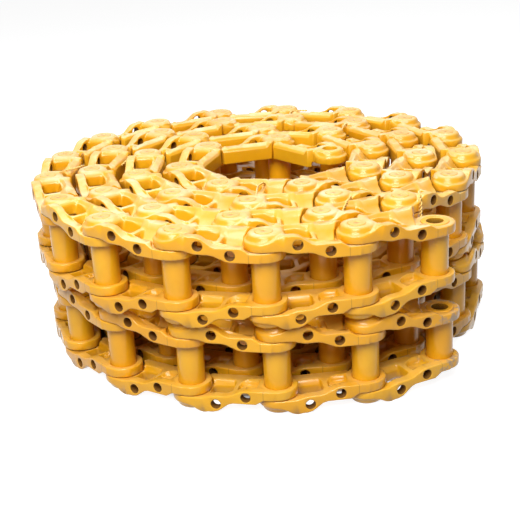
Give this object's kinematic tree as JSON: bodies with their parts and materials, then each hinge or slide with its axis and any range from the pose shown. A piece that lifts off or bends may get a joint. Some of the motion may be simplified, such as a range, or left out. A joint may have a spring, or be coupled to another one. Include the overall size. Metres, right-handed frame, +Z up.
{
  "type": "excavator track chain",
  "caption": "Sealed excavator track chains without shoes, forged links on pins and bushings, rolled up on their sides and stacked.",
  "frame": {"origin": "on the floor, under the middle of the outline of both rolls", "axes": "+Z up along the pins; the links of the outer wrap that carry the shoe bolt mounts lie along X at the back, shoe face towards +Y"},
  "size_m": [1.1074, 1.1566, 0.4071],
  "materials": {
    "link_paint": "satin yellow paint over forged steel",
    "bushing_paint": "satin yellow paint over turned steel",
    "pin_paint": "satin yellow paint over turned steel",
    "seal_rubber": "dark rubber"
  },
  "bodies": {
    "upper_roll": {"upper_roll_top_links": "link_paint", "upper_roll_bottom_links": "link_paint", "upper_roll_bushings": "bushing_paint", "upper_roll_pins": "pin_paint", "upper_roll_seals": "seal_rubber", "upper_inner_end_top_link": "link_paint", "upper_inner_end_bottom_link": "link_paint", "upper_inner_end_bushing": "bushing_paint"},
    "upper_tail1": {"upper_tail1_top_link": "link_paint", "upper_tail1_bottom_link": "link_paint", "upper_tail1_bushing": "bushing_paint", "upper_tail1_pin": "pin_paint", "upper_tail1_seals": "seal_rubber"},
    "upper_tail2": {"upper_tail2_top_link": "link_paint", "upper_tail2_bottom_link": "link_paint", "upper_tail2_bushing": "bushing_paint", "upper_tail2_pin": "pin_paint", "upper_tail2_seals": "seal_rubber"},
    "upper_tail3": {"upper_tail3_top_link": "link_paint", "upper_tail3_bottom_link": "link_paint", "upper_tail3_bushing": "bushing_paint", "upper_tail3_pin": "pin_paint", "upper_tail3_seals": "seal_rubber"},
    "upper_tail4": {"upper_tail4_top_link": "link_paint", "upper_tail4_bottom_link": "link_paint", "upper_tail4_bushing": "bushing_paint", "upper_tail4_pin": "pin_paint", "upper_tail4_seals": "seal_rubber"},
    "lower_roll": {"lower_roll_top_links": "link_paint", "lower_roll_bottom_links": "link_paint", "lower_roll_bushings": "bushing_paint", "lower_roll_pins": "pin_paint", "lower_roll_seals": "seal_rubber", "lower_inner_end_top_link": "link_paint", "lower_inner_end_bottom_link": "link_paint", "lower_inner_end_bushing": "bushing_paint"},
    "lower_tail1": {"lower_tail1_top_link": "link_paint", "lower_tail1_bottom_link": "link_paint", "lower_tail1_bushing": "bushing_paint", "lower_tail1_pin": "pin_paint", "lower_tail1_seals": "seal_rubber"},
    "lower_tail2": {"lower_tail2_top_link": "link_paint", "lower_tail2_bottom_link": "link_paint", "lower_tail2_bushing": "bushing_paint", "lower_tail2_pin": "pin_paint", "lower_tail2_seals": "seal_rubber"},
    "lower_tail3": {"lower_tail3_top_link": "link_paint", "lower_tail3_bottom_link": "link_paint", "lower_tail3_bushing": "bushing_paint", "lower_tail3_pin": "pin_paint", "lower_tail3_seals": "seal_rubber"},
    "lower_tail4": {"lower_tail4_top_link": "link_paint", "lower_tail4_bottom_link": "link_paint", "lower_tail4_bushing": "bushing_paint", "lower_tail4_pin": "pin_paint", "lower_tail4_seals": "seal_rubber"}
  },
  "joints": [
    {"name": "upper_roll_lift", "type": "slide", "parent": "lower_roll", "child": "upper_roll", "axis": [0, 0, 1], "range_m": [0, 0.3]},
    {"name": "upper_tail4_hinge", "type": "hinge", "parent": "upper_roll", "child": "upper_tail4", "pos_m": [-0.35131, -0.37671, 0.3054], "axis": [0, 0, -1], "range_deg": [0, 30]},
    {"name": "upper_tail3_hinge", "type": "hinge", "parent": "upper_tail4", "child": "upper_tail3", "pos_m": [-0.19529, -0.48513, 0.3054], "axis": [0, 0, -1], "range_deg": [0, 30]},
    {"name": "upper_tail2_hinge", "type": "hinge", "parent": "upper_tail3", "child": "upper_tail2", "pos_m": [-0.01171, -0.53414, 0.3054], "axis": [0, 0, -1], "range_deg": [0, 30]},
    {"name": "upper_tail1_hinge", "type": "hinge", "parent": "upper_tail2", "child": "upper_tail1", "pos_m": [0.17765, -0.51857, 0.3054], "axis": [0, 0, -1], "range_deg": [0, 30]},
    {"name": "lower_tail4_hinge", "type": "hinge", "parent": "lower_roll", "child": "lower_tail4", "pos_m": [-0.33731, -0.36271, 0.1017], "axis": [0, 0, -1], "range_deg": [0, 30]},
    {"name": "lower_tail3_hinge", "type": "hinge", "parent": "lower_tail4", "child": "lower_tail3", "pos_m": [-0.18129, -0.47113, 0.1017], "axis": [0, 0, -1], "range_deg": [0, 30]},
    {"name": "lower_tail2_hinge", "type": "hinge", "parent": "lower_tail3", "child": "lower_tail2", "pos_m": [0.00229, -0.52014, 0.1017], "axis": [0, 0, -1], "range_deg": [0, 30]},
    {"name": "lower_tail1_hinge", "type": "hinge", "parent": "lower_tail2", "child": "lower_tail1", "pos_m": [0.19165, -0.50457, 0.1017], "axis": [0, 0, -1], "range_deg": [0, 30]}
  ]
}
